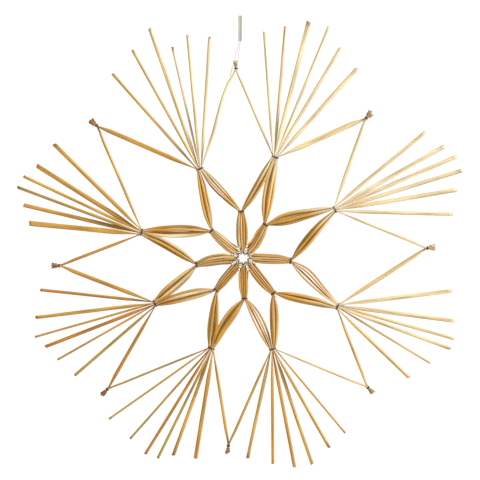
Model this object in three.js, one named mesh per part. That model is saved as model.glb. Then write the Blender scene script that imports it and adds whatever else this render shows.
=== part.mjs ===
// A straw star ornament, about 300 mm across, made to hang.
//
// Thirty-two straws are laid as eight nested sets of four. Each straw folds in a V at the
// centre, runs out along two neighbouring petals, and its two halves meet again at an outer
// tie, so that four straws together outline one diamond. Beyond the outer tie the eight
// straw ends fan out: six end free, and the outermost two are tied to those of the next
// fans at the star's eight tips. A thread joins the top tip to a folded ribbon, the loop.
//
// Millimetres, +Z up, the star upright in the XZ plane with its front to -Y. The origin is
// inside the top of the hanging loop, where a hook would hold it. Radii are measured from
// the star's centre and bearings counter-clockwise from +X, in degrees, seen from the front.
// Left and right are those of someone who looks outward from the centre.

import * as THREE from 'three';

// ---------------------------------------------------------------- driving dimensions

const STAR_CENTRE = { x: 2.1, z: -162.3 };

// The eight petals, clockwise from the top, with the tie at each petal's outer end and the
// tie at the star's tip above it. `half` is half a petal's width, and `lean` how far it bulges
// to the right of its middle line, near the centre and further out.
const PETALS = [
  { name: 'n', inner: [31.8, 92.5], tip: [127.2, 92.15], half: 3.9, lean: [0, 0.1] },
  { name: 'ne', inner: [27.5, 56.5], tip: [125.1, 48.75], half: 3.6, lean: [0.8, 0.5] },
  { name: 'e', inner: [32.5, -3], tip: [123.7, 3.15], half: 3.4, lean: [0, -0.25] },
  { name: 'se', inner: [31.5, -49], tip: [120.5, -46], half: 3.4, lean: [0.4, 0.5] },
  { name: 's', inner: [27.5, -88], tip: [126, -94.5], half: 3.3, lean: [0.3, 0.3] },
  { name: 'sw', inner: [28.5, 230], tip: [126.5, 224], half: 3.35, lean: [0.1, 0.2] },
  { name: 'w', inner: [32, 187.9], tip: [123.4, 182.3], half: 3.8, lean: [1, 1.1] },
  { name: 'nw', inner: [28.5, 139.5], tip: [132.5, 137.85], half: 3.3, lean: [-0.4, -0.2] },
];

// The eight diamonds, each between a petal and the next one clockwise. `arms` are its left
// and right sides: how far each reaches to the left and right of the line between its ties,
// near the inner tie and far from it, and the width of its straws. `ends` gives the bearing
// and length, from the outer tie, of the six free straw ends; `widths` are those of all
// eight ends. Both run clockwise.
const DIAMONDS = [
  {
    name: 'nne',
    outer: [71.5, 72.5],
    arms: [
      { near: [1.5, 3.4], far: [2.6, 2.8], wide: 1.8 },
      { near: [4.4, 2.3], far: [3.8, 3], wide: 2 },
    ],
    ends: [[95, 83.5], [85.5, 87], [76, 93], [67.5, 93.5], [59, 85.5], [47, 80]],
    widths: [1.8, 2, 2, 3, 2, 2.3, 2.7, 3.4],
  },
  {
    name: 'ene',
    outer: [70, 28],
    arms: [
      { near: [4.2, 3.6], far: [3.9, 2.1], wide: 2.1 },
      { near: [3.3, 2.3], far: [3.2, 2.4], wide: 1.9 },
    ],
    ends: [[40.5, 79.5], [30, 84], [23.5, 89.5], [17, 88.5], [9, 82.5], [-2.5, 78.5]],
    widths: [2.7, 2.3, 2.7, 2.6, 2.6, 2.7, 2.3, 1.7],
  },
  {
    name: 'ese',
    outer: [71.5, -27],
    arms: [
      { near: [4.2, 3], far: [3.1, 2.2], wide: 1.3 },
      { near: [3.3, 2.5], far: [2.9, 2.8], wide: 2 },
    ],
    ends: [[8, 76.5], [-7, 78.5], [-15.5, 80.5], [-20.5, 80], [-31.5, 72.5], [-45, 67]],
    widths: [2.7, 2.7, 2.6, 2, 2.2, 1.5, 2.3, 2],
  },
  {
    name: 'sse',
    outer: [64.5, -72],
    arms: [
      { near: [2.9, 2.6], far: [3.5, 1.8], wide: 1.9 },
      { near: [4.3, 1.7], far: [3.4, 2.7], wide: 1.35 },
    ],
    ends: [[-49, 73.5], [-60, 75], [-71, 80.5], [-79.5, 80.5], [-90, 76], [-103, 75]],
    widths: [1.3, 1.4, 2, 2.3, 2.3, 2, 2.3, 1.8],
  },
  {
    name: 'ssw',
    outer: [64.5, 250.5],
    arms: [
      { near: [2.1, 4.5], far: [1.9, 4.2], wide: 1.9 },
      { near: [2.8, 2.4], far: [3.2, 3.6], wide: 1.9 },
    ],
    ends: [[262, 73.5], [250.5, 76], [244, 81], [238, 82.5], [228, 81], [214.5, 82.5]],
    widths: [2, 2.7, 2.3, 1.8, 2, 1.5, 1.4, 1.4],
  },
  {
    name: 'wsw',
    outer: [67, 207.2],
    arms: [
      { near: [2.1, 4], far: [2.8, 3.4], wide: 2 },
      { near: [3.6, 2.1], far: [3.2, 3.4], wide: 1.9 },
    ],
    ends: [[222, 71.5], [210, 74.5], [201.5, 78.5], [195.5, 83], [186.5, 79.5], [173, 77]],
    widths: [2.3, 2, 1.4, 2.3, 1.5, 2.3, 2, 2.7],
  },
  {
    name: 'wnw',
    outer: [70.7, 165.7],
    arms: [
      { near: [1.4, 3.9], far: [1.8, 4], wide: 1.8 },
      { near: [3.8, 3.6], far: [3.6, 3.9], wide: 2 },
    ],
    ends: [[175.5, 75], [167, 80.5], [160, 88], [154.5, 86.5], [147.5, 83], [134.5, 82]],
    widths: [2, 3.4, 2.6, 2, 2, 3, 2.7, 2],
  },
  {
    name: 'nnw',
    outer: [67, 116],
    arms: [
      { near: [2.6, 2.7], far: [3, 2.2], wide: 1.8 },
      { near: [2.8, 1.8], far: [3.1, 2.8], wide: 1.25 },
    ],
    ends: [[132.5, 86], [119.5, 90], [109.5, 99.5], [102.5, 83], [95, 89.5], [85.5, 88]],
    widths: [3, 2, 1.8, 2.6, 1.5, 2, 2, 2],
  },
];

const STRAWS_PER_DIAMOND = 4;
const SIDES = 6;

// Across is measured in the plane of the star and deep along Y. A straw is pressed narrow
// where it is tied and where it folds.
const ARM_DEEP = 2;
const PETAL = { deep: 2.2, layer: 1.25, wideShare: 1.75 };
const FOLD = { wide: 0.6, deep: 2 };
const INNER_TIE = { wide: 0.65, deep: 1.1, pitch: 0.42, layer: 0.65 };
const OUTER_TIE = { wide: 0.75, deep: 1.2, pitch: 1, layer: 0.7, stagger: 0.05 };
const TIP_TIE = { wide: 1.2, deep: 0.9, layer: 0.58 };
const OPEN_LAYER = 1.15;

// The petals start evenly spaced round the centre, whatever way they lean further out. Each
// fold is centred the same distance from the middle lines of its two petals.
const FIRST_ROOT_BEARING = 93.5;
const STEP = 360 / PETALS.length;
const FOLD_OFFSETS = [3.3, 2.62, 1.95, 1.35];
const FOLD_RADII = [0.42, 0.42, 0.42, 0.68];
const ROOT_RADIUS = 5;

// Where along a stretch, from 0 to 1, its sections stand.
const PETAL_STATIONS = [0.3, 0.68];
const PETAL_SPREAD = [1, 0.92];
const ARM_STATIONS = { near: 0.24, far: 0.7 };
const FOLD_STATIONS = [0, 1 / 3, 2 / 3, 1];

const OPENING_LENGTH = 20;
const TIP_TAPER = 12;
const TIP_STUB = 5;
const TOP_BOW = 1.5;
const STUB_TURN = 12;
const FLAT_ROUND = 4.2;
const END_DEEP = { min: 1.1, max: 2 };
const END_SLANT = 24;
const END_LEAN = 1.3;

const BAND = { thick: 0.4, long: 0.9, chamfer: 0.35, gap: 0.15 };
const CENTRE_THREAD = { thick: 0.4, overRadius: 4.3, over: 2.7 };

// The ribbon is folded over at the top, and its two ends hold the thread between them.
const RIBBON = { wide: 2.4, thick: 0.35, halfGap: 0.5, length: 16.4, footHalfGap: 0.3 };
const THREAD = { diameter: 0.5, sides: 8, turnRadius: 0.35, turnTop: -14.4 };

// ---------------------------------------------------------------- small geometry

const radians = THREE.MathUtils.degToRad;

/** The unit vector at a bearing, in the star's plane: x to the right, y upward. */
const toward = (bearing) => new THREE.Vector2(Math.cos(radians(bearing)), Math.sin(radians(bearing)));

/** The point at [radius, bearing] from the star's centre. */
const polar = ([radius, bearing]) => toward(bearing).multiplyScalar(radius);

/** A vector turned a quarter turn clockwise. */
const clockwise = (v) => new THREE.Vector2(v.y, -v.x);

const between = (a, b, share) => a.clone().lerp(b, share);

const beside = (point, direction, distance) => point.clone().addScaledVector(direction, distance);

const heading = (a, b) => b.clone().sub(a).normalize();

/** A closed body from rings of points, each ring joined to the next and both ends capped. */
function loft(rings, closed = false) {
  const sides = rings[0].length;
  const positions = rings.flat().flatMap((p) => [p.x, p.y, p.z]);
  const triangles = [];
  const joints = closed ? rings.length : rings.length - 1;
  for (let r = 0; r < joints; r += 1) {
    const here = r * sides;
    const next = ((r + 1) % rings.length) * sides;
    for (let i = 0; i < sides; i += 1) {
      const j = (i + 1) % sides;
      triangles.push(here + i, next + i, next + j, here + i, next + j, here + j);
    }
  }
  if (!closed) {
    const last = (rings.length - 1) * sides;
    for (let i = 1; i < sides - 1; i += 1) {
      triangles.push(0, i, i + 1);
      triangles.push(last, last + i + 1, last + i);
    }
  }
  const geometry = new THREE.BufferGeometry();
  geometry.setAttribute('position', new THREE.Float32BufferAttribute(positions, 3));
  geometry.setIndex(facingOut(positions, triangles));
  geometry.computeVertexNormals();
  return geometry;
}

/** The triangles, turned over if the body that they close has a negative volume. */
function facingOut(positions, triangles) {
  const corner = (i) => new THREE.Vector3().fromArray(positions, 3 * i);
  let volume = 0;
  for (let t = 0; t < triangles.length; t += 3) {
    const [a, b, c] = triangles.slice(t, t + 3).map(corner);
    volume += a.dot(b.cross(c));
  }
  return volume > 0 ? triangles : triangles.slice().reverse();
}

// ---------------------------------------------------------------- ties

const innerTies = PETALS.map((petal) => polar(petal.inner));
const tipTies = PETALS.map((petal) => polar(petal.tip));
const outerTies = DIAMONDS.map((diamond) => polar(diamond.outer));

const wrap = (k) => (k + PETALS.length) % PETALS.length;

/** Where petal k starts at the centre, and the way that its middle line runs from there. */
const rootBearing = (k) => FIRST_ROOT_BEARING - STEP * k;
const root = (k) => polar([ROOT_RADIUS, rootBearing(k)]);
const petalAxis = (k) => heading(root(k), innerTies[k]);

/** The centre of the bend of straw j of diamond k: where lines beside its two petals meet. */
function foldCentre(k, j) {
  const offset = FOLD_OFFSETS[j];
  const left = petalAxis(k);
  const right = petalAxis(wrap(k + 1));
  const start = beside(root(k), clockwise(left), offset);
  const other = beside(root(wrap(k + 1)), clockwise(right), -offset);
  const along = other.sub(start).cross(right) / left.cross(right);
  return beside(start, left, along);
}

// ---------------------------------------------------------------- straws

/** One section of a straw. `facing` is the way it faces where a tie or fold settles that. */
const section = (point, wide, deep, depth, facing = null) => ({ point, wide, deep, depth, facing });

/** -1 for a straw that lies in front, 1 for one behind; neighbours take turns. */
const layerOf = (k, j) => ((k + j) % 2 === 0 ? -1 : 1);

/** How far straw j lies from the middle of the outer tie's bundle. */
function outerOffset(j) {
  const column = OUTER_TIE.pitch * (j < 2 ? 0.5 : 1.5);
  return column + OUTER_TIE.stagger * (j % 2 === 0 ? -1 : 1);
}

/** The free or tied end of a straw, outward from diamond k's outer tie. */
function fanSections(k, side, j, start, layer) {
  const order = side < 0 ? 3 - j : 4 + j;
  const wide = DIAMONDS[k].widths[order];
  const deep = THREE.MathUtils.clamp(FLAT_ROUND - wide, END_DEEP.min, END_DEEP.max);
  const depth = layer * OPEN_LAYER;
  if (j === STRAWS_PER_DIAMOND - 1) {
    return tipSections(wrap(side < 0 ? k : k + 1), side, start, wide, deep, layer);
  }
  const [bearing, length] = DIAMONDS[k].ends[order - 1];
  const end = beside(outerTies[k], toward(bearing), length);
  const opened = beside(start, heading(start, end), OPENING_LENGTH);
  const turn = 8 * k + order;
  const slant = bearing + END_SLANT * Math.sin(5 * turn);
  const lean = depth + END_LEAN * Math.sin(3 * turn);
  return [section(opened, wide, deep, depth), section(end, wide, deep, lean, toward(slant))];
}

/** A straw's end that crosses its neighbour's under the tie at tip k, from the fan beside it. */
function tipSections(k, side, start, wide, deep, layer) {
  const tie = tipTies[k];
  const along = heading(start, tie);
  const radial = toward(PETALS[k].tip[1]);
  const turned = along.clone().add(radial).normalize();
  const depth = layer * OPEN_LAYER;
  const stub = beside(tie, turned, TIP_STUB);
  // The loop's thread pulls the left straw of the top tip sideways.
  const bow = clockwise(along).multiplyScalar(k === 0 && side > 0 ? -TOP_BOW : 0);
  return [
    section(beside(start, along, OPENING_LENGTH), wide, deep, depth),
    section(beside(tie, along, -TIP_TAPER).add(bow), wide, deep, depth),
    section(tie, TIP_TIE.wide, TIP_TIE.deep, layer * TIP_TIE.layer, radial),
    section(stub, wide, TIP_TIE.deep, layer * (TIP_TIE.layer + 0.2), turned),
  ];
}

/** Half a straw of diamond k, from the fold outward, along the petal on that side. */
function halfStraw(k, side, j) {
  const layer = layerOf(k, j);
  const petal = wrap(side < 0 ? k : k + 1);
  const fromRoot = root(petal);
  const tie = innerTies[petal];
  const axis = petalAxis(petal);
  // Towards the diamond: clockwise on its left petal, anticlockwise on its right one.
  const inward = clockwise(axis).multiplyScalar(-side);
  const rank = STRAWS_PER_DIAMOND - 0.5 - j;

  const { half, lean } = PETALS[petal];
  const pitch = half / (STRAWS_PER_DIAMOND - 0.5 + PETAL.wideShare / 2);
  const petalSections = PETAL_STATIONS.map((share, i) => {
    const middle = beside(between(fromRoot, tie, share), clockwise(axis), lean[i]);
    const place = beside(middle, inward, pitch * PETAL_SPREAD[i] * rank);
    return section(place, PETAL.wideShare * pitch, PETAL.deep, layer * PETAL.layer);
  });

  const innerPoint = beside(tie, inward, INNER_TIE.pitch * rank);
  const inner = section(innerPoint, INNER_TIE.wide, INNER_TIE.deep, layer * INNER_TIE.layer, axis);

  const outerTie = outerTies[k];
  const radial = toward(DIAMONDS[k].outer[1]);
  const outerPoint = beside(outerTie, clockwise(radial), side * outerOffset(j));
  const outer = section(outerPoint, OUTER_TIE.wide, OUTER_TIE.deep, layer * OUTER_TIE.layer, radial);

  const armRight = clockwise(heading(tie, outerTie));
  const arm = DIAMONDS[k].arms[side < 0 ? 0 : 1];
  const column = side < 0 ? STRAWS_PER_DIAMOND - 1 - j : j;
  const armSections = ['near', 'far'].map((station) => {
    const [left, right] = arm[station];
    const gap = (left + right - arm.wide) / (STRAWS_PER_DIAMOND - 1);
    const middle = between(tie, outerTie, ARM_STATIONS[station]);
    const place = beside(middle, armRight, arm.wide / 2 - left + gap * column);
    return section(place, arm.wide, ARM_DEEP, layer * OPEN_LAYER);
  });

  return [
    ...petalSections,
    inner,
    ...armSections,
    outer,
    ...fanSections(k, side, j, outerPoint, layer),
  ];
}

/** The fold of straw j at the centre, from the left petal round to the right one. */
function foldSections(k, j) {
  const centre = foldCentre(k, j);
  const first = clockwise(petalAxis(k)).negate();
  const last = clockwise(petalAxis(wrap(k + 1)));
  const swing = Math.acos(first.dot(last));
  return FOLD_STATIONS.map((share) => {
    const out = first.clone().rotateAround(new THREE.Vector2(), swing * share);
    const point = beside(centre, out, FOLD_RADII[j]);
    return section(point, FOLD.wide, FOLD.deep, layerOf(k, j) * PETAL.layer, clockwise(out));
  });
}

/** The points of one section's outline; its flats face front and back. */
function outline({ point, wide, deep, depth, facing }) {
  const across = clockwise(facing);
  const flat = Math.sin(Math.PI / 3);
  return Array.from({ length: SIDES }, (_, i) => {
    const angle = (2 * Math.PI * i) / SIDES;
    const sideways = (wide / 2) * Math.cos(angle);
    const y = depth + (deep / 2 / flat) * Math.sin(angle);
    return new THREE.Vector3(point.x + across.x * sideways, y, point.y + across.y * sideways);
  });
}

/** Straw j of diamond k, end to end. */
function straw(k, j) {
  const left = halfStraw(k, -1, j).reverse();
  const sections = [...left, ...foldSections(k, j), ...halfStraw(k, 1, j)];
  sections.forEach((s, i) => {
    const before = sections[Math.max(i - 1, 0)].point;
    const after = sections[Math.min(i + 1, sections.length - 1)].point;
    const travel = heading(before, after);
    s.facing = s.facing ?? travel;
    if (s.facing.dot(travel) < 0) s.facing = s.facing.clone().negate();
  });
  return loft(sections.map(outline));
}

// ---------------------------------------------------------------- threads

/** A flat band of thread round a bundle, its inside a box with its corners cut. */
function band(centre, axis, halfWide, halfDeep, from) {
  const across = clockwise(axis);
  const corners = (grow) => {
    const a = halfWide + grow;
    const b = halfDeep + grow;
    const cut = BAND.chamfer + 0.4 * grow;
    const quarter = [[a, b - cut], [a - cut, b]];
    const mirrored = quarter.map(([x, y]) => [-x, y]).reverse();
    const upper = [...quarter, ...mirrored];
    return [...upper, ...upper.map(([x, y]) => [-x, -y])];
  };
  const inside = corners(0);
  const outside = corners(BAND.thick);
  const place = ([x, y], along) => {
    const p = beside(beside(centre, across, x), axis, along);
    return new THREE.Vector3(p.x, y, p.y);
  };
  const to = from + BAND.long;
  const rings = inside.map((corner, i) => [
    place(corner, from),
    place(outside[i], from),
    place(outside[i], to),
    place(corner, to),
  ]);
  return loft(rings, true);
}

/** The tie at petal k's outer end, just inside the place where the straws part. */
function innerTie(k) {
  const halfWide = INNER_TIE.pitch * 3.5 + INNER_TIE.wide / 2 + 0.14 + BAND.gap;
  const halfDeep = INNER_TIE.layer + INNER_TIE.deep / 2 + 0.08 + BAND.gap;
  return band(innerTies[k], petalAxis(k), halfWide, halfDeep, -BAND.long - 0.05);
}

/** The tie where the eight straw ends of diamond k start to fan out. */
function outerTie(k) {
  const halfWide = outerOffset(3) + OUTER_TIE.wide / 2 + 0.35 + BAND.gap;
  const halfDeep = OUTER_TIE.layer + OUTER_TIE.deep / 2 + 0.06 + BAND.gap;
  return band(outerTies[k], toward(DIAMONDS[k].outer[1]), halfWide, halfDeep, -BAND.long - 0.05);
}

/** The tie at tip k, round the two straws that cross there. */
function tipTie(k) {
  const halfWide = TIP_TIE.wide / 2 + 0.35 + BAND.gap;
  const halfDeep = TIP_TIE.layer + TIP_TIE.deep / 2 + 0.06 + BAND.gap;
  return band(tipTies[k], toward(PETALS[k].tip[1]), halfWide, halfDeep, -BAND.long / 2);
}

/** The thread woven round the centre: over one petal, down between the folds, under the next. */
function centreThread() {
  const { thick, overRadius, over } = CENTRE_THREAD;
  // It goes through halfway between the last fold's inner face and the next one's outer face.
  const last = STRAWS_PER_DIAMOND - 1;
  const through = (k) => {
    const pocket = foldCentre(wrap(k), last);
    const next = foldCentre(wrap(k), last - 1);
    const out = heading(pocket, next);
    const innerFace = beside(pocket, out, FOLD.wide / 2 - FOLD_RADII[last]);
    const outerFace = beside(next, out, -FOLD.wide / 2 - FOLD_RADII[last - 1]);
    return between(innerFace, outerFace, 0.5);
  };
  const points = PETALS.flatMap((_, k) => {
    const y = over * (k % 2 === 0 ? -1 : 1);
    const places = [through(k - 1), polar([overRadius, rootBearing(k)]), through(k)];
    return places.map((p) => new THREE.Vector3(p.x, y, p.y));
  });
  const rings = points.map((p, i) => {
    const before = points.at(i - 1);
    const after = points[(i + 1) % points.length];
    const along = after.clone().sub(before).normalize();
    const out = new THREE.Vector3(p.x, 0, p.z).normalize();
    out.addScaledVector(along, -out.dot(along)).normalize();
    const third = along.clone().cross(out);
    return [[1, 1], [-1, 1], [-1, -1], [1, -1]].map(([a, b]) => p
      .clone()
      .addScaledVector(out, (a * thick) / 2)
      .addScaledVector(third, (b * thick) / 2));
  });
  return loft(rings, true);
}

// ---------------------------------------------------------------- hanging loop

/** Points of a half turn over a centre, from its left to its right. */
function halfTurn(centre, radius, steps) {
  return Array.from({ length: steps + 1 }, (_, i) => {
    const angle = Math.PI * (1 - i / steps);
    return [centre[0] + radius * Math.cos(angle), centre[1] + radius * Math.sin(angle)];
  });
}

/** The ribbon: up in front, over the hook, and down behind. */
function hangingLoop() {
  const { wide, thick, halfGap, length, footHalfGap } = RIBBON;
  const foot = footHalfGap + thick / 2;
  const over = halfTurn([0, -halfGap], halfGap + thick / 2, 8);
  const line = [[-foot, -length], ...over, [foot, -length]].map(([y, z]) => new THREE.Vector2(y, z));
  const rings = line.map((p, i) => {
    const before = line[Math.max(i - 1, 0)];
    const after = line[Math.min(i + 1, line.length - 1)];
    const out = clockwise(heading(before, after));
    return [[1, 1], [-1, 1], [-1, -1], [1, -1]].map(([a, b]) => {
      const q = beside(p, out, (a * thick) / 2);
      return new THREE.Vector3((b * wide) / 2, q.x, q.y);
    });
  });
  return loft(rings);
}

/** The thread's middle line: up from the left straw, round in the ribbon, down to the tip. */
function threadRoute() {
  const { turnRadius, turnTop } = THREAD;
  const turn = halfTurn([0, turnTop - turnRadius], turnRadius, 6);
  return [
    [-6.6, -40.2, 0.25],
    [-5.8, -37.3, 0.25],
    [-4.7, -33, 0.15],
    [-3.5, -28.7],
    [-1.9, -22.7],
    [-0.6, -17.8],
    ...turn,
    [0.3, -17.4],
    [-0.2, -21, 0.3],
    [-0.9, -26, 1.1],
    [-1.9, -33, 1.9],
  ].map(([x, z, y = 0]) => new THREE.Vector3(x, y, z));
}

function hangingThread() {
  const route = threadRoute();
  const r = THREAD.diameter / 2;
  const rings = route.map((p, i) => {
    const before = route[Math.max(i - 1, 0)];
    const after = route[Math.min(i + 1, route.length - 1)];
    const along = after.clone().sub(before).normalize();
    const side = new THREE.Vector3(0, 1, 0).cross(along);
    return Array.from({ length: THREAD.sides }, (_, n) => {
      const angle = (2 * Math.PI * n) / THREAD.sides;
      const ring = p.clone().addScaledVector(side, r * Math.cos(angle));
      ring.y += r * Math.sin(angle);
      return ring;
    });
  });
  return loft(rings);
}

// ---------------------------------------------------------------- the ornament

const strawMaterial = new THREE.MeshStandardMaterial({ color: 0xd8b46a, roughness: 0.45, metalness: 0 });
const threadMaterial = new THREE.MeshStandardMaterial({ color: 0x4a3328, roughness: 0.9, metalness: 0 });
const ribbonMaterial = new THREE.MeshStandardMaterial({ color: 0xcfc5ba, roughness: 0.8, metalness: 0 });

function named(name, geometry, material) {
  const mesh = new THREE.Mesh(geometry, material);
  mesh.name = name;
  return mesh;
}

const star = new THREE.Group();
star.position.set(STAR_CENTRE.x, 0, STAR_CENTRE.z);
DIAMONDS.forEach((diamond, k) => {
  for (let j = 0; j < STRAWS_PER_DIAMOND; j += 1) {
    star.add(named(`straw_${diamond.name}_${j + 1}`, straw(k, j), strawMaterial));
  }
  star.add(named(`outer_tie_${diamond.name}`, outerTie(k), threadMaterial));
});
PETALS.forEach((petal, k) => {
  star.add(named(`inner_tie_${petal.name}`, innerTie(k), threadMaterial));
  star.add(named(`tip_tie_${petal.name}`, tipTie(k), threadMaterial));
});
star.add(named('centre_thread', centreThread(), threadMaterial));

const ornament = new THREE.Group();
ornament.add(star);
ornament.add(named('hanging_loop', hangingLoop(), ribbonMaterial));
ornament.add(named('hanging_thread', hangingThread(), ribbonMaterial));

export default ornament;
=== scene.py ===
"""Looks of the straw star ornament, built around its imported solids.

Every straw, tie and thread follows its own solid: the straws take their middle lines,
widths and thicknesses from the solids' rings, and the ties take their places from theirs.
Metres, +Z up, the star in the XZ plane with its front to -Y, the origin in the top of the
hanging loop.
"""

import math
import random

import bmesh
import bpy
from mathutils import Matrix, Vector, noise


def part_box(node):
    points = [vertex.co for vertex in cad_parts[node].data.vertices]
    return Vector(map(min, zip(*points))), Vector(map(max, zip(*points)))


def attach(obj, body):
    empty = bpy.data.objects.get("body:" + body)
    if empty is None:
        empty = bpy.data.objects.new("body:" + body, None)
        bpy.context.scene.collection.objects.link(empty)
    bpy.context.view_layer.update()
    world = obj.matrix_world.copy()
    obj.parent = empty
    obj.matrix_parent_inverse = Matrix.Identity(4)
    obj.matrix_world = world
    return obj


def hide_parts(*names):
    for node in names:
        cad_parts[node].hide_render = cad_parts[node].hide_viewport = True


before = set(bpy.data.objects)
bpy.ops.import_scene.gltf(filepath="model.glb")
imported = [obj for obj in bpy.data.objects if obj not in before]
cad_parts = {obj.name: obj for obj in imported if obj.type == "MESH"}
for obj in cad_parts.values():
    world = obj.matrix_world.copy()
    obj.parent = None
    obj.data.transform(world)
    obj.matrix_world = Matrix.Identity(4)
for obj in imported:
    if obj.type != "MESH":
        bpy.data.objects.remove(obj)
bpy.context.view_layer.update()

MM = 0.001
DEPTH = Vector((0, 1, 0))
BODY = "root"
PETALS = ("n", "ne", "e", "se", "s", "sw", "w", "nw")
DIAMONDS = ("nne", "ene", "ese", "sse", "ssw", "wsw", "wnw", "nnw")
STRAWS_PER_DIAMOND = 4


def centre_of(node):
    low, high = (Vector(corner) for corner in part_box(node))
    return (low + high) / 2


STAR_CENTRE = centre_of("centre_thread")


# ---------------------------------------------------------------- camera, light, floor

FRAME_WIDTH = 0.3216
LENS = 85
SENSOR = 36
CAMERA_AIM = Vector((0, 0, -0.1501))
SURROUND_LIGHT = 0.45
SURROUND_SEEN = 1.05
FLOOR_RADIUS = 0.32
FLOOR_DROP = 0.36


def make_camera():
    data = bpy.data.cameras.new("camera")
    data.lens = LENS
    data.sensor_width = SENSOR
    camera = bpy.data.objects.new("camera", data)
    bpy.context.scene.collection.objects.link(camera)
    distance = FRAME_WIDTH * LENS / SENSOR
    camera.location = CAMERA_AIM - DEPTH * distance
    camera.rotation_euler = (math.pi / 2, 0, 0)
    bpy.context.scene.camera = camera


def area_light(name, place, size, watts, colour):
    """A soft lamp that faces the middle of the star."""
    data = bpy.data.lights.new(name, "AREA")
    data.size = size
    data.energy = watts
    data.color = colour
    lamp = bpy.data.objects.new(name, data)
    lamp.location = place
    lamp.rotation_euler = (STAR_CENTRE - Vector(place)).to_track_quat("-Z", "Y").to_euler()
    lamp.visible_camera = False
    bpy.context.scene.collection.objects.link(lamp)


def make_world():
    """A white surround that shows brighter to the camera than it lights the star."""
    world = bpy.data.worlds.new("world")
    bpy.context.scene.world = world
    world.use_nodes = True
    nodes = world.node_tree.nodes
    links = world.node_tree.links
    background = nodes["Background"]
    background.inputs["Color"].default_value = (1, 1, 1, 1)
    path = nodes.new("ShaderNodeLightPath")
    strength = nodes.new("ShaderNodeMapRange")
    strength.inputs["To Min"].default_value = SURROUND_LIGHT
    strength.inputs["To Max"].default_value = SURROUND_SEEN
    links.new(path.outputs["Is Camera Ray"], strength.inputs["Value"])
    links.new(strength.outputs["Result"], background.inputs["Strength"])


def make_floor():
    """A pale round floor below the hanging star."""
    mesh = bpy.data.meshes.new("floor")
    shape = bmesh.new()
    bmesh.ops.create_circle(shape, cap_ends=True, segments=64, radius=FLOOR_RADIUS)
    shape.to_mesh(mesh)
    shape.free()
    floor = bpy.data.objects.new("floor", mesh)
    floor.location = (STAR_CENTRE.x, 0, STAR_CENTRE.z - FLOOR_DROP)
    bpy.context.scene.collection.objects.link(floor)
    material = bpy.data.materials.new("floor")
    material.use_nodes = True
    shader = material.node_tree.nodes["Principled BSDF"]
    shader.inputs["Base Color"].default_value = (0.82, 0.81, 0.79, 1)
    shader.inputs["Roughness"].default_value = 0.9
    mesh.materials.append(material)


# ---------------------------------------------------------------- materials


def linear(code):
    """The linear colour of an sRGB hex code."""
    channels = [int(code[i : i + 2], 16) / 255 for i in (1, 3, 5)]
    return Vector([c / 12.92 if c <= 0.04045 else ((c + 0.055) / 1.055) ** 2.4 for c in channels])


def new_material(name):
    material = bpy.data.materials.new(name)
    material.use_nodes = True
    tree = material.node_tree
    return material, tree, tree.nodes["Principled BSDF"]


def node(tree, kind, **values):
    """A shader node with its inputs set by name."""
    made = tree.nodes.new(kind)
    for key, value in values.items():
        made.inputs[key.replace("_", " ")].default_value = value
    return made


def ramp(tree, *stops):
    """A colour ramp with grey stops, given as (position, value)."""
    made = tree.nodes.new("ShaderNodeValToRGB")
    elements = made.color_ramp.elements
    while len(elements) < len(stops):
        elements.new(0.5)
    for element, (position, value) in zip(elements, stops):
        element.position = position
        element.color = (value, value, value, 1)
    return made


def mixed(tree, factor, a, b, kind="MIX"):
    """A mix of two colours; factor, a and b are each a value or another node's output."""
    mix = tree.nodes.new("ShaderNodeMix")
    mix.data_type = "RGBA"
    mix.blend_type = kind
    for key, value in (("Factor", factor), ("A", a), ("B", b)):
        if isinstance(value, bpy.types.NodeSocket):
            tree.links.new(value, mix.inputs[key])
        else:
            mix.inputs[key].default_value = value
    return mix.outputs["Result"]


def stretched(tree, around, along):
    """Coordinates on a straw's skin, in millimetres, scaled around it and along it."""
    uv = tree.nodes.new("ShaderNodeUVMap")
    uv.uv_map = "skin"
    mapping = node(tree, "ShaderNodeMapping", Scale=(around, along, 1))
    tree.links.new(uv.outputs["UV"], mapping.inputs["Vector"])
    return mapping.outputs["Vector"]


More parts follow.
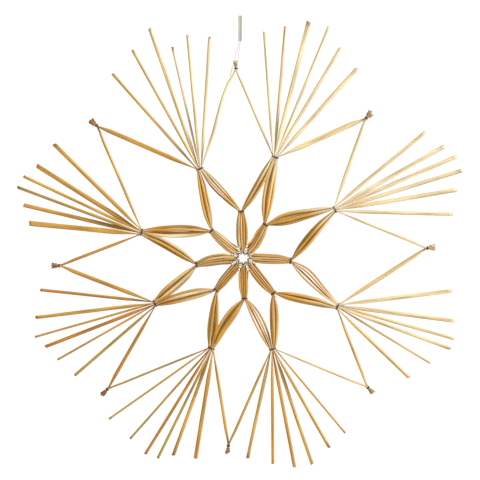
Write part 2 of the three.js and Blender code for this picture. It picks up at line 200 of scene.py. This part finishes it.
def straw_material():
    """Waxy straw: the tone of its place, partly painted light and shade at the free ends, with
    fine fibres, long streaks and small flecks.
    """
    material, tree, shader = new_material("straw")
    links = tree.links
    tone = tree.nodes.new("ShaderNodeVertexColor")
    tone.layer_name = "tone"

    fibres = node(tree, "ShaderNodeTexNoise", Scale=1, Detail=3, Roughness=0.6)
    links.new(stretched(tree, 5.5, 0.09), fibres.inputs["Vector"])
    streaks = node(tree, "ShaderNodeTexNoise", Scale=1, Detail=2)
    links.new(stretched(tree, 1.6, 0.035), streaks.inputs["Vector"])
    flecks = node(tree, "ShaderNodeTexNoise", Scale=1, Detail=1)
    links.new(stretched(tree, 2.6, 0.8), flecks.inputs["Vector"])

    fibre_tone = ramp(tree, (0.3, 0.74), (0.5, 1), (0.72, 1.14))
    links.new(fibres.outputs["Fac"], fibre_tone.inputs["Fac"])
    streak_tone = ramp(tree, (0.34, 0.72), (0.6, 1.22))
    links.new(streaks.outputs["Fac"], streak_tone.inputs["Fac"])
    fleck_tone = ramp(tree, (0.26, 0.6), (0.34, 1))
    links.new(flecks.outputs["Fac"], fleck_tone.inputs["Fac"])

    colour = tone.outputs["Color"]
    for factor in (fibre_tone, streak_tone, fleck_tone):
        colour = mixed(tree, 1, colour, factor.outputs["Color"], "MULTIPLY")
    links.new(colour, shader.inputs["Base Color"])

    gloss = node(tree, "ShaderNodeMapRange", To_Min=0.32, To_Max=0.52)
    links.new(streaks.outputs["Fac"], gloss.inputs["Value"])
    links.new(gloss.outputs["Result"], shader.inputs["Roughness"])
    bump = node(tree, "ShaderNodeBump", Strength=0.35, Distance=0.00012)
    links.new(fibres.outputs["Fac"], bump.inputs["Height"])
    links.new(bump.outputs["Normal"], shader.inputs["Normal"])
    shader.inputs["Subsurface Weight"].default_value = 0.25
    shader.inputs["Subsurface Radius"].default_value = (1, 0.55, 0.2)
    shader.inputs["Subsurface Scale"].default_value = 0.0009
    shader.inputs["Coat Weight"].default_value = 0.18
    shader.inputs["Coat Roughness"].default_value = 0.28
    return material


def pith_shade_material():
    """The dull inside of a cut straw, painted darker as shade in the hollow."""
    material, tree, shader = new_material("straw_inside")
    grain = node(tree, "ShaderNodeTexNoise", Scale=900, Detail=2)
    place = tree.nodes.new("ShaderNodeTexCoord")
    tree.links.new(place.outputs["Object"], grain.inputs["Vector"])
    dark = (*linear("#5A3517"), 1)
    light = (*linear("#9A6A34"), 1)
    colour = mixed(tree, grain.outputs["Fac"], dark, light)
    tree.links.new(colour, shader.inputs["Base Color"])
    shader.inputs["Roughness"].default_value = 0.85
    return material


def thread_material(name, dark, light, roughness):
    """Twisted thread: fine slanting fibres between a dark and a lighter tone."""
    material, tree, shader = new_material(name)
    links = tree.links
    uv = tree.nodes.new("ShaderNodeUVMap")
    uv.uv_map = "skin"
    turned = node(tree, "ShaderNodeMapping", Rotation=(0, 0, 0.6), Scale=(6, 2.2, 1))
    links.new(uv.outputs["UV"], turned.inputs["Vector"])
    fibres = node(tree, "ShaderNodeTexNoise", Scale=1, Detail=3)
    links.new(turned.outputs["Vector"], fibres.inputs["Vector"])
    colour = mixed(tree, fibres.outputs["Fac"], (*linear(dark), 1), (*linear(light), 1))
    links.new(colour, shader.inputs["Base Color"])
    bump = node(tree, "ShaderNodeBump", Strength=0.5, Distance=0.00006)
    links.new(fibres.outputs["Fac"], bump.inputs["Height"])
    links.new(bump.outputs["Normal"], shader.inputs["Normal"])
    shader.inputs["Roughness"].default_value = roughness
    shader.inputs["Sheen Weight"].default_value = 0.15
    return material


def ribbon_material():
    """Plain-woven ribbon: crossing threads over the painted lit and shaded halves."""
    material, tree, shader = new_material("hanging_ribbon")
    links = tree.links
    tone = tree.nodes.new("ShaderNodeVertexColor")
    tone.layer_name = "tone"
    weave = tone.outputs["Color"]
    for around, along in ((9, 0.4), (0.4, 9)):
        yarn = node(tree, "ShaderNodeTexNoise", Scale=1, Detail=1)
        links.new(stretched(tree, around, along), yarn.inputs["Vector"])
        shade = ramp(tree, (0.3, 0.78), (0.7, 1.08))
        links.new(yarn.outputs["Fac"], shade.inputs["Fac"])
        weave = mixed(tree, 1, weave, shade.outputs["Color"], "MULTIPLY")
    links.new(weave, shader.inputs["Base Color"])
    bump = node(tree, "ShaderNodeBump", Strength=0.4, Distance=0.00008)
    links.new(shade.outputs["Color"], bump.inputs["Height"])
    links.new(bump.outputs["Normal"], shader.inputs["Normal"])
    shader.inputs["Roughness"].default_value = 0.7
    shader.inputs["Sheen Weight"].default_value = 0.2
    return material


# ---------------------------------------------------------------- mesh building


def finished(name, mesh, materials, slot, *nodes):
    """A piece from a mesh, on the body, in place of the named solids."""
    for material in materials:
        mesh.materials.append(material)
    piece = bpy.data.objects.new(name, mesh)
    bpy.context.scene.collection.objects.link(piece)
    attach(piece, BODY)
    if nodes:
        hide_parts(*nodes)
    return piece


class Skin:
    """Gathers rings of points into one mesh with skin coordinates and tones."""

    def __init__(self):
        self.points = []
        self.tones = []
        self.faces = []
        self.uvs = []
        self.kinds = []

    def ring(self, points, tone):
        first = len(self.points)
        self.points += points
        self.tones += [tone] * len(points)
        return range(first, len(self.points))

    def span(self, low, high, from_mm, to_mm, around_mm, kind=0):
        """The faces between two rings; lengths in millimetres lay out the skin."""
        count = len(low)
        for i in range(count):
            j = (i + 1) % count
            left = around_mm * i / count
            right = around_mm * (i + 1) / count
            self.faces.append((low[i], low[j], high[j], high[i]))
            self.uvs.append(((left, from_mm), (right, from_mm), (right, to_mm), (left, to_mm)))
            self.kinds.append(kind)

    def cap(self, ring, kind=0, flip=False):
        order = list(ring)
        if flip:
            order.reverse()
        self.faces.append(tuple(order))
        self.uvs.append(tuple((0.1 * i, 0) for i in range(len(order))))
        self.kinds.append(kind)

    def mesh(self, name):
        mesh = bpy.data.meshes.new(name)
        mesh.from_pydata(self.points, [], self.faces)
        layer = mesh.uv_layers.new(name="skin")
        corners = [corner for face in self.uvs for corner in face]
        layer.data.foreach_set("uv", [value for corner in corners for value in corner])
        mesh.polygons.foreach_set("material_index", self.kinds)
        mesh.polygons.foreach_set("use_smooth", [True] * len(self.faces))
        tone = mesh.color_attributes.new("tone", "FLOAT_COLOR", "POINT")
        tone.data.foreach_set("color", [c for t in self.tones for c in (*t, 1)])
        mesh.update()
        return mesh


def lengths_along(points):
    """The distance along a line of points at each of them."""
    total = [0.0]
    for a, b in zip(points, points[1:]):
        total.append(total[-1] + (b - a).length)
    return total


def tangents_of(points, closed=False):
    last = len(points) - 1
    result = []
    for i in range(len(points)):
        if closed:
            before, after = points[i - 1], points[(i + 1) % len(points)]
        else:
            before, after = points[max(i - 1, 0)], points[min(i + 1, last)]
        result.append((after - before).normalized())
    return result


def smooth_line(points, step, closed=False):
    """A Catmull-Rom line through the points, with about `step` between its own points."""
    count = len(points)
    spans = count if closed else count - 1
    line = []
    for i in range(spans):
        if closed:
            p0, p1, p2, p3 = (points[(i + n) % count] for n in (-1, 0, 1, 2))
        else:
            p0, p1, p2, p3 = (points[min(max(i + n, 0), count - 1)] for n in (-1, 0, 1, 2))
        steps = max(1, round((p2 - p1).length / step))
        for s in range(steps):
            t = s / steps
            line.append(
                0.5
                * (
                    2 * p1
                    + (p2 - p0) * t
                    + (2 * p0 - 5 * p1 + 4 * p2 - p3) * t * t
                    + (3 * p1 - p0 - 3 * p2 + p3) * t**3
                )
            )
    if not closed:
        line.append(points[-1].copy())
    return line


TWIST_PITCH = 1.5 * MM
THREAD_SIDES = 10
PLY_BULGE = 0.13
PLY_FILL = 0.93


def add_thread(skin, line, radius, closed=False, tone=Vector((1, 1, 1)), twist_pitch=TWIST_PITCH):
    """A two-ply twisted thread along a line; its ends are closed."""
    tangents = tangents_of(line, closed)
    along = lengths_along(line)
    side = tangents[0].orthogonal().normalized()
    sides = []
    for tangent in tangents:
        side = (side - tangent * side.dot(tangent)).normalized()
        sides.append(side)
    drift = 0.0
    total = along[-1] + ((line[0] - line[-1]).length if closed else 0)
    turns = total / twist_pitch
    if closed:
        carried = (sides[-1] - tangents[0] * sides[-1].dot(tangents[0])).normalized()
        drift = -math.atan2(carried.cross(sides[0]).dot(tangents[0]), carried.dot(sides[0]))
        turns = round(turns * 2) / 2
    rings = []
    for point, tangent, side, s in zip(line, tangents, sides, along):
        up = tangent.cross(side)
        share = s / total
        roll = -drift * share
        ring = []
        for i in range(THREAD_SIDES):
            angle = 2 * math.pi * i / THREAD_SIDES
            ply = 1 + PLY_BULGE * math.cos(2 * (angle - 2 * math.pi * turns * share))
            out = side * math.cos(angle + roll) + up * math.sin(angle + roll)
            ring.append(point + out * radius * ply * PLY_FILL)
        rings.append(skin.ring(ring, tone))
    around = 2 * math.pi * radius / MM
    for i in range(len(rings) - 1):
        skin.span(rings[i], rings[i + 1], along[i] / MM, along[i + 1] / MM, around)
    if closed:
        skin.span(rings[-1], rings[0], along[-1] / MM, total / MM, around)
    else:
        skin.cap(rings[0], flip=True)
        skin.cap(rings[-1])


# ---------------------------------------------------------------- straws, from their solids


WELD = 0.002 * MM
CAP_LEAN = 0.05


def solid_rings(name):
    """The rings of a straw's solid, end to end, each as (centre, across, wide, deep)."""
    shape = bmesh.new()
    shape.from_mesh(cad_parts[name].data)
    bmesh.ops.remove_doubles(shape, verts=shape.verts, dist=WELD)
    shape.normal_update()
    # Only the two ends have faces that don't lean to the front or the back.
    caps = [f for f in shape.faces if abs(f.normal.y) < CAP_LEAN]
    first_cap = max(caps, key=lambda f: (f.calc_center_median() - STAR_CENTRE).length)
    level = set(first_cap.verts)
    for cap in caps * 2:
        if level & set(cap.verts):
            level |= set(cap.verts)
    seen = set(level)
    levels = []
    while level:
        levels.append([v.co.copy() for v in level])
        level = {e.other_vert(v) for v in level for e in v.link_edges} - seen
        seen |= level
    shape.free()
    rings = []
    for points in levels:
        centre = sum(points, Vector()) / len(points)
        middle = sorted(points, key=lambda p: abs(p.y - centre.y))[:2]
        across = middle[1] - middle[0]
        across.y = 0
        deep = max(p.y for p in points) - min(p.y for p in points)
        rings.append((centre, across.normalized(), across.length, deep))
    return rings


def blend(a, b, share):
    return a + (b - a) * share


def eased(share):
    return share * share * (3 - 2 * share)


TIED_WIDE = 0.8 * MM
PINCH_WIDE = 1.21 * MM
CLOSE_STEP = 0.55 * MM
OPEN_STEP = 2.4 * MM
CLOSE_REACH = 3.5 * MM
LAST_GAP = 0.2 * MM
ROUNDED_STEP = 0.9 * MM


class Course:
    """The middle line of a straw, finely divided, with its width and thickness."""

    def __init__(self, rings):
        self.centres = [r[0] for r in rings]
        self.wides = [r[2] for r in rings]
        self.deeps = [r[3] for r in rings]
        self.corners = [self.is_corner(i) for i in range(len(rings))]
        self.slopes = self.find_slopes()
        self.points = []
        self.wide = []
        self.deep = []
        for i in range(len(rings) - 1):
            self.fill(i)
        self.points.append(self.centres[-1].copy())
        self.wide.append(self.wides[-1])
        self.deep.append(self.deeps[-1])
        self.round_corners()
        self.along = lengths_along(self.points)
        self.tangents = tangents_of(self.points)

    def is_corner(self, i):
        """A straw turns sharply where a tie holds it: the narrow places away from the fold."""
        if i in (0, len(self.centres) - 1):
            return False
        narrow = self.wides[i] < TIED_WIDE
        lonely = self.wides[i - 1] > TIED_WIDE and self.wides[i + 1] > TIED_WIDE
        return narrow and lonely

    def find_slopes(self):
        c = self.centres
        slopes = []
        for i in range(len(c)):
            if i == 0 or i == len(c) - 1 or self.corners[i]:
                slopes.append(None)
                continue
            before = c[i] - c[i - 1]
            after = c[i + 1] - c[i]
            a, b = before.length, after.length
            slopes.append((before / a * b + after / b * a) / (a + b))
        return slopes

    def fill(self, i):
        """Points from ring i up to, but not including, ring i + 1."""
        start, end = self.centres[i], self.centres[i + 1]
        chord = end - start
        reach = chord.length
        leave, arrive = self.slopes[i], self.slopes[i + 1]
        if leave is None and arrive is None:
            leave = arrive = chord / reach
        elif leave is None:
            leave = (3 * chord / reach - arrive) / 2
        elif arrive is None:
            arrive = (3 * chord / reach - leave) / 2
        near_start = self.wides[i] < PINCH_WIDE
        near_end = self.wides[i + 1] < PINCH_WIDE
        s = 0.0
        while s < reach - LAST_GAP:
            t = s / reach
            t2, t3 = t * t, t**3
            self.points.append(
                start * (2 * t3 - 3 * t2 + 1)
                + leave * reach * (t3 - 2 * t2 + t)
                + end * (3 * t2 - 2 * t3)
                + arrive * reach * (t3 - t2)
            )
            share = self.narrowing(i, t)
            self.wide.append(blend(self.wides[i], self.wides[i + 1], share))
            self.deep.append(blend(self.deeps[i], self.deeps[i + 1], share))
            close = (near_start and s < CLOSE_REACH) or (near_end and reach - s < CLOSE_REACH)
            s += min(CLOSE_STEP, reach / 2) if close else OPEN_STEP

    def narrowing(self, i, t):
        """A straw stays open until just before its fold, and eases towards a tie."""
        if self.is_fold(i + 1):
            return t**5
        if self.is_fold(i):
            return 1 - (1 - t) ** 5
        return eased(t)

    def is_fold(self, i):
        return self.wides[i] < TIED_WIDE and not self.corners[i]

    def round_corners(self):
        """Evens out the sharp turns over about a millimetre; straight stretches stay."""
        for _ in range(2):
            points = self.points
            evened = [points[0]]
            for a, b, c in zip(points, points[1:], points[2:]):
                short = max((b - a).length, (c - b).length) < ROUNDED_STEP
                evened.append((a + 2 * b + c) / 4 if short else b)
            evened.append(points[-1])
            self.points = evened


# Tones of straw; the free ends also use them to paint light and shade.
CREAM = linear("#E3CFA4")
PALE = linear("#D8B778")
GOLD = linear("#CB9A3C")
AMBER = linear("#BF8226")
OLIVE = linear("#B0923C")
TAN = linear("#C39552")
RUSSET = linear("#AC6C3C")
SCORCHED = linear("#8A4C1A")

# Where a straw's tones change, as shares of the way from a free end to its fold.
FAN_SHARE = 0.55
ARM_SHARE = 0.7
FAN_TO_ARM = 0.15
ARM_TO_HEART = 0.2
BRIGHTEST = 0.9

SIDES = 18
WALL = 0.22 * MM
BORE_DEPTH = 3.5 * MM
SKIN_ROUND = 2 * math.pi
NEAR_TIP = 9 * MM
TOP_TIP = centre_of("tip_tie_n")
TIP_BROWN = 7 * MM
END_BROWN = 4 * MM
DENT_WIDTH = 0.42


def cut_slants(rng):
    """How far an end's cut leans sideways and towards the front."""
    return math.tan(rng.uniform(-0.45, 0.45)), math.tan(rng.uniform(-0.2, 0.6))


def end_tone_with_painted_light(point, rng):
    """The tone of a free end, mostly painted light: paler up and to the right as if washed out by
    bright light, more golden down and to the left as painted shade, with a random spread.
    """
    out = (point - STAR_CENTRE) / (150 * MM)
    # Painted light: how brightly this end would be lit, from its place in the star, plus a random
    # spread.
    light = 0.5 + 0.42 * out.x + 0.3 * out.z + rng.uniform(-0.18, 0.18)
    if light > 0.6:
        return blend(PALE, CREAM, min(1, (light - 0.6) / 0.4))
    if light > 0.3:
        return blend(GOLD, PALE, (light - 0.3) / 0.3)
    return blend(rng.choice((AMBER, OLIVE, GOLD)), GOLD, max(0, light / 0.3))


def straw_tones(course, rng):
    """The tones of a straw's two free ends, which hold painted light and shade, of its outer arm
    and of its stretch by the centre.
    """
    ends = [end_tone_with_painted_light(course.points[0], rng), end_tone_with_painted_light(course.points[-1], rng)]
    heart = blend(rng.choice((GOLD, TAN, CREAM, PALE)), rng.choice((RUSSET, TAN, GOLD)), 0.4)
    light = rng.choice((GOLD, PALE, CREAM, GOLD))
    arm = blend(light, rng.choice((AMBER, GOLD)), rng.random() * 0.6)
    return ends, arm, heart


def browned_ends(course, to_tip, rng):
    """How strongly each end of a straw is browned; the ends at the top tip are kept pale as a
    painted highlight of the washed-out top.
    """
    browned = [rng.uniform(0.6, 1) if to_tip else rng.random() ** 3 for _ in range(2)]
    # Painted light: near the top tip the browning is nearly taken away, so these ends show pale
    # as if washed out by bright light.
    for end, point in enumerate((course.points[0], course.points[-1])):
        if (point - TOP_TIP).length < NEAR_TIP:
            browned[end] = 0.1
    return browned


def tone_along(place, fan, arm, heart):
    """The tone at a share of the way from a free end to the fold."""
    if place < FAN_SHARE:
        return fan
    if place < ARM_SHARE:
        return blend(fan, arm, eased((place - FAN_SHARE) / FAN_TO_ARM))
    return blend(arm, heart, eased(min(1, (place - ARM_SHARE) / ARM_TO_HEART)))


def dent_at(wide, s, seed):
    """How deep a straw's crease is: deeper where the straw is pinched, and uneven."""
    pinched = max(0, 1 - wide / (2 * MM))
    uneven = max(0, noise.noise(Vector((seed, 3, s / (30 * MM)))))
    return 0.05 + 0.3 * pinched + 0.12 * uneven


def section(centre, tangent, wide, deep, dent, inset=0.0, slant=(0, 0), jag=None):
    """The points of one ring round a straw; the dent is a crease down its front and back."""
    across = tangent.cross(DEPTH).normalized()
    points = []
    for i in range(SIDES):
        angle = 2 * math.pi * i / SIDES
        c, s = math.cos(angle), math.sin(angle)
        crease = dent * math.exp(-((math.acos(min(1, abs(s))) / DENT_WIDTH) ** 2))
        x = (wide / 2 - inset) * c
        y = (deep / 2 - inset) * s * (1 - crease)
        push = slant[0] * x + slant[1] * y
        if jag:
            push += jag[i]
        points.append(centre + across * x + DEPTH * y + tangent * push)
    return points


def straw_piece(name, materials):
    """A hollow straw with open, slanting cut ends, along the middle line of its solid."""
    rng = random.Random(name)
    course = Course(solid_rings(name))
    count = len(course.points)
    total = course.along[-1]
    ends, arm, heart = straw_tones(course, rng)
    to_tip = name.endswith(str(STRAWS_PER_DIAMOND))
    browned = browned_ends(course, to_tip, rng)
    brown_length = TIP_BROWN if to_tip else END_BROWN
    seed = rng.uniform(0, 100)

    skin = Skin()
    rings = []
    for i in range(count):
        s = course.along[i]
        from_end = min(s, total - s)
        end = 0 if s < total / 2 else 1
        # The free ends' tones carry painted light and shade, paler up and to the right.
        tone = tone_along(from_end / (total / 2), ends[end], arm, heart)
        browning = browned[end] * math.exp(-((from_end / brown_length) ** 2))
        tone = blend(tone, SCORCHED, 0.85 * browning)
        drift = noise.noise(Vector((seed, s / (22 * MM), 0)))
        tone = tone * (1 + 0.16 * drift)
        tone = Vector([min(c, BRIGHTEST) for c in tone])

        wide, deep = course.wide[i], course.deep[i]
        squeeze = 1 + 0.05 * noise.noise(Vector((seed, 7, s / (9 * MM))))
        at_end = i in (0, count - 1)
        slant = cut_slants(rng) if at_end else (0, 0)
        jag = torn_edge(rng) if at_end and to_tip else None
        shape = (wide * squeeze, deep, dent_at(wide, s, seed))
        points = section(course.points[i], course.tangents[i], *shape, 0, slant, jag)
        rings.append(skin.ring(points, tone))
        if at_end:
            add_bore(skin, course, i, rings[-1], shape, slant, jag, tone)
    for i in range(count - 1):
        low, high = course.along[i] / MM, course.along[i + 1] / MM
        skin.span(rings[i], rings[i + 1], low + seed, high + seed, SKIN_ROUND)
    return finished(name + "_stalk", skin.mesh(name), materials, "straw", name)


def torn_edge(rng):
    """How far each point of a torn end stands out."""
    return [rng.uniform(-0.9, 0.5) * MM for _ in range(SIDES)]


def add_bore(skin, course, i, outer, shape, slant, jag, tone):
    """The wall's cut edge and the hollow inside one end of a straw, darkened inwards as painted
    shade.
    """
    start = i == 0
    inward = course.tangents[i] * (1 if start else -1)
    wall = min(WALL, 0.18 * min(shape[:2]))
    rim = section(course.points[i], course.tangents[i], *shape, wall, slant, jag)
    # Painted shade: the cut rim is darkened towards the hollow.
    rings = [outer, skin.ring(rim, tone * 0.8)]
    for share in (0.15, 0.5, 1):
        centre = course.points[i] + inward * BORE_DEPTH * share
        points = section(centre, course.tangents[i], *shape, wall)
        # Painted shade inside the hollow, at half the tone.
        rings.append(skin.ring(points, tone * 0.5))
    for n, (a, b) in enumerate(zip(rings, rings[1:])):
        if start:
            a, b = b, a
        skin.span(a, b, n, n + 1, 2, kind=0 if n == 0 else 1)
    skin.cap(rings[-1], kind=1, flip=not start)


# ---------------------------------------------------------------- ties


def band_axes(name):
    """A tie's centre, its long direction in the star's plane, and its half sizes."""
    points = [v.co.copy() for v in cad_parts[name].data.vertices]
    centre = centre_of(name)
    xx = xz = zz = 0.0
    for p in points:
        d = p - centre
        xx += d.x * d.x
        xz += d.x * d.z
        zz += d.z * d.z
    angle = 0.5 * math.atan2(2 * xz, xx - zz)
    across = Vector((math.cos(angle), 0, math.sin(angle)))
    axis = across.cross(DEPTH)
    if axis.dot(centre - STAR_CENTRE) < 0:
        across, axis = -across, -axis
    wide = max((p - centre).dot(across) for p in points)
    deep = max(p.y for p in points)
    return centre, across, axis, wide, deep


WOUND_STEPS = 28
BAND_ROUNDNESS = 0.6
BAND_INSET = 0.4 * MM
BAND_TURNS = 2.5
KNOT_STEPS = 40
KNOT_SIZE = 0.42 * MM


def wound_line(centre, across, axis, wide, deep, turns, pitch, start):
    """A thread wound round a flat bundle."""
    line = []
    for i in range(round(turns * WOUND_STEPS) + 1):
        angle = start + 2 * math.pi * i / WOUND_STEPS
        c, s = math.cos(angle), math.sin(angle)
        x = math.copysign(abs(c) ** BAND_ROUNDNESS, c) * wide
        y = math.copysign(abs(s) ** BAND_ROUNDNESS, s) * deep
        z = pitch * (i / WOUND_STEPS - turns / 2)
        line.append(centre + across * x + DEPTH * y + axis * z)
    return line


def knot_line(centre, across, axis, size):
    """A small overhand knot."""
    line = []
    for i in range(KNOT_STEPS):
        a = 2 * math.pi * i / KNOT_STEPS
        x = (math.sin(a) + 2 * math.sin(2 * a)) * size / 3
        z = (math.cos(a) - 2 * math.cos(2 * a)) * size / 3
        y = -math.sin(3 * a) * size / 3
        line.append(centre + across * x + axis * z + DEPTH * y)
    return line


def loose_end(start, heading, length, rng):
    """A short cut end of thread that springs away from its knot."""
    bend = Vector((rng.uniform(-1, 1), rng.uniform(-0.5, 0.1), rng.uniform(-1, 1))) * length * 0.3
    points = [
        start,
        start + heading * length * 0.4 + bend * 0.3,
        start + heading * length * 0.75 + bend * 0.7,
        start + heading * length + bend,
    ]
    return smooth_line(points, 0.35 * MM)


def tie_piece(name, materials, radius, ends_mm):
    """A few turns of thread with a knot in front and its cut ends."""
    rng = random.Random(name)
    centre, across, axis, wide, deep = band_axes(name)
    skin = Skin()
    wide_in, deep_in = wide - BAND_INSET, deep - BAND_INSET
    start = rng.uniform(-0.3, 0.3) - math.pi / 2
    pitch = 2.1 * radius
    line = wound_line(centre, across, axis, wide_in, deep_in, BAND_TURNS, pitch, start)
    add_thread(skin, line, radius)
    off = across * rng.uniform(-0.4, 0.4) * wide
    knot = centre + off - DEPTH * (deep_in + 1.1 * radius)
    add_thread(skin, knot_line(knot, across, axis, KNOT_SIZE), radius, closed=True)
    for sign, length in zip((1, -1), ends_mm):
        heading = (axis * rng.uniform(0.3, 1) * sign + across * rng.uniform(-1, 1)).normalized()
        heading = (heading - DEPTH * 0.25).normalized()
        add_thread(skin, loose_end(knot, heading, length * MM, rng), radius * 0.85)
    return finished(name + "_thread", skin.mesh(name), materials, "binding_thread", name)


# ---------------------------------------------------------------- centre thread


WEAVE_RADIUS = 0.2 * MM
WEAVE_REACH = 4.3 * MM
WEAVE_LAP_STEP = 0.55 * MM
WEAVE_SHIFT = 0.22 * MM


def innermost(name):
    """The point of a straw's middle line nearest the star's centre."""
    return min((r[0] for r in solid_rings(name)), key=lambda p: (p - STAR_CENTRE).length)


def centre_thread_piece(materials):
    """Two rounds of thread woven over and under the petals beside the centre."""
    low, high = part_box("centre_thread")
    front = low[1] + WEAVE_RADIUS
    back = high[1] - WEAVE_RADIUS
    gaps = []
    for diamond in DIAMONDS:
        folds = [innermost(f"straw_{diamond}_{j}") for j in (3, 4)]
        gaps.append((folds[0] + folds[1]) / 2)
    skin = Skin()
    for lap in (0, 1):
        points = []
        for k in range(len(PETALS)):
            y = front if (k + lap) % 2 == 0 else back
            before, after = gaps[k - 1], gaps[k]
            middle = (before + after) / 2 - STAR_CENTRE
            over = STAR_CENTRE + middle.normalized() * (WEAVE_REACH + WEAVE_LAP_STEP * lap)
            shift = (after - before).normalized() * WEAVE_SHIFT * (1 if lap else -1)
            for place in (before + shift, over, after + shift):
                points.append(Vector((place.x, y, place.z)))
        round_line = smooth_line(points, 0.3 * MM, closed=True)
        add_thread(skin, round_line, WEAVE_RADIUS, closed=True)
    mesh = skin.mesh("centre")
    return finished("centre_weave", mesh, materials, "binding_thread", "centre_thread")


# ---------------------------------------------------------------- hanging loop

# Painted light and shade: the lit left and shaded right halves of the ribbon.
RIBBON_PAINTED_LIT_SIDE = linear("#D9D2C7")
RIBBON_PAINTED_SHADED_SIDE = linear("#ADA397")
RIBBON_WIDE = 2.4 * MM
RIBBON_THICK = 0.3 * MM
RIBBON_HALF_GAP = 0.5 * MM
RIBBON_LENGTH = 16.4 * MM
RIBBON_FOOT = 0.475 * MM
RIBBON_SIDES = 24
RIBBON_BEND_STEPS = 12
RIBBON_LAST_BEND = 0.9 * RIBBON_LENGTH
RIBBON_GROOVE = 0.35 * MM
RIBBON_PAINTED_SHADE_EDGE = 0.3 * MM
WEFT_PITCH = 1.1 * MM
THREAD_DIAMETER = 0.5 * MM
# The thread's turn in the ribbon, in millimetres like the route.
TURN_RADIUS = 0.35
TURN_TOP = -14.4


def thread_route():
    """The thread's middle line: up from the left straw, round in the ribbon, down to the tip.

    Each point is (x, z) or (x, z, y), in millimetres.
    """
    points = [
        (-6.6, -40.2, 0.25),
        (-5.8, -37.3, 0.25),
        (-4.7, -33, 0.15),
        (-3.5, -28.7),
        (-1.9, -22.7),
        (-0.6, -17.8),
    ]
    turns = 6
    for i in range(turns + 1):
        angle = math.pi * (1 - i / turns)
        x = TURN_RADIUS * math.cos(angle)
        points.append((x, TURN_TOP - TURN_RADIUS + TURN_RADIUS * math.sin(angle)))
    points += [(0.3, -17.4), (-0.2, -21, 0.3), (-0.9, -26, 1.1), (-1.9, -33, 1.9)]
    return [Vector((p[0], p[2] if len(p) > 2 else 0, p[1])) * MM for p in points]


def hanging_thread_piece(materials):
    route = smooth_line(thread_route(), 0.3 * MM)
    skin = Skin()
    add_thread(skin, route, THREAD_DIAMETER / 2, twist_pitch=1.8 * MM)
    thread = finished(
        "hanging_yarn", skin.mesh("yarn"), materials, "hanging_cord", "hanging_thread"
    )


def ribbon_piece(materials):
    """A woven ribbon folded over at the top, its left half painted lighter than its right as
    painted light and shade across its lengthwise fold.
    """
    places = [(-RIBBON_FOOT, -RIBBON_LENGTH), (-RIBBON_FOOT, -RIBBON_LAST_BEND)]
    radius = RIBBON_HALF_GAP + RIBBON_THICK / 2
    for i in range(RIBBON_BEND_STEPS + 1):
        angle = math.pi * (1 - i / RIBBON_BEND_STEPS)
        places.append((radius * math.cos(angle), -RIBBON_HALF_GAP + radius * math.sin(angle)))
    places += [(RIBBON_FOOT, -RIBBON_LAST_BEND), (RIBBON_FOOT, -RIBBON_LENGTH)]
    line = smooth_line([Vector((0, y, z)) for y, z in places], 0.5 * MM)
    tangents = tangents_of(line)
    along = lengths_along(line)
    skin = Skin()
    rings = []
    for point, tangent, s in zip(line, tangents, along):
        out = tangent.cross(Vector((1, 0, 0)))
        ring = []
        for i in range(RIBBON_SIDES):
            angle = 2 * math.pi * i / RIBBON_SIDES
            c, d = math.cos(angle), math.sin(angle)
            x = math.copysign(abs(c) ** 0.35, c) * RIBBON_WIDE / 2
            x *= 1 + 0.02 * math.sin(s * 2 * math.pi / WEFT_PITCH)
            groove = 1 - 0.3 * math.exp(-((x / RIBBON_GROOVE) ** 2))
            y = math.copysign(abs(d) ** 0.5, d) * RIBBON_THICK / 2 * groove
            ring.append(point + Vector((x, 0, 0)) + out * y)
        rings.append(skin.ring(ring, Vector((1, 1, 1))))
    # Painted shade: the right half darker than the left, blended over a narrow middle.
    for k in range(len(skin.points)):
        side = max(-1, min(1, skin.points[k].x / RIBBON_PAINTED_SHADE_EDGE))
        skin.tones[k] = blend(RIBBON_PAINTED_LIT_SIDE, RIBBON_PAINTED_SHADED_SIDE, 0.5 + 0.5 * side)
    around = 2 * RIBBON_WIDE / MM
    for i in range(len(rings) - 1):
        skin.span(rings[i], rings[i + 1], along[i] / MM, along[i + 1] / MM, around)
    skin.cap(rings[0], flip=True)
    skin.cap(rings[-1])
    finished("hanging_ribbon", skin.mesh("ribbon"), materials, "hanging_cord", "hanging_loop")


# ---------------------------------------------------------------- the scene

make_camera()
hanging = thread_material("hanging_yarn", "#B9AD9C", "#EFE9DF", 0.75)
hanging_thread_piece([hanging])
ribbon_piece([ribbon_material()])

straw_skins = [straw_material(), pith_shade_material()]
binding = [thread_material("binding_thread", "#2A1210", "#5A3026", 0.7)]
for diamond in DIAMONDS:
    for j in range(1, STRAWS_PER_DIAMOND + 1):
        straw_piece(f"straw_{diamond}_{j}", straw_skins)
    tie_piece(f"outer_tie_{diamond}", binding, radius=0.15 * MM, ends_mm=(3.5, 2.5))
for petal in PETALS:
    tie_piece(f"inner_tie_{petal}", binding, radius=0.14 * MM, ends_mm=(3.5, 2.2))
    tie_piece(f"tip_tie_{petal}", binding, radius=0.15 * MM, ends_mm=(4, 2.2))
centre_thread_piece(binding)

make_world()
make_floor()
area_light("key", place=(1.3, -0.75, 0.55), size=0.45, watts=34.5, colour=(1, 0.99, 0.96))
area_light("fill", place=(-0.7, -0.8, -0.3), size=0.8, watts=1.5, colour=(1, 0.98, 0.95))
bpy.context.scene.view_settings.view_transform = "Standard"
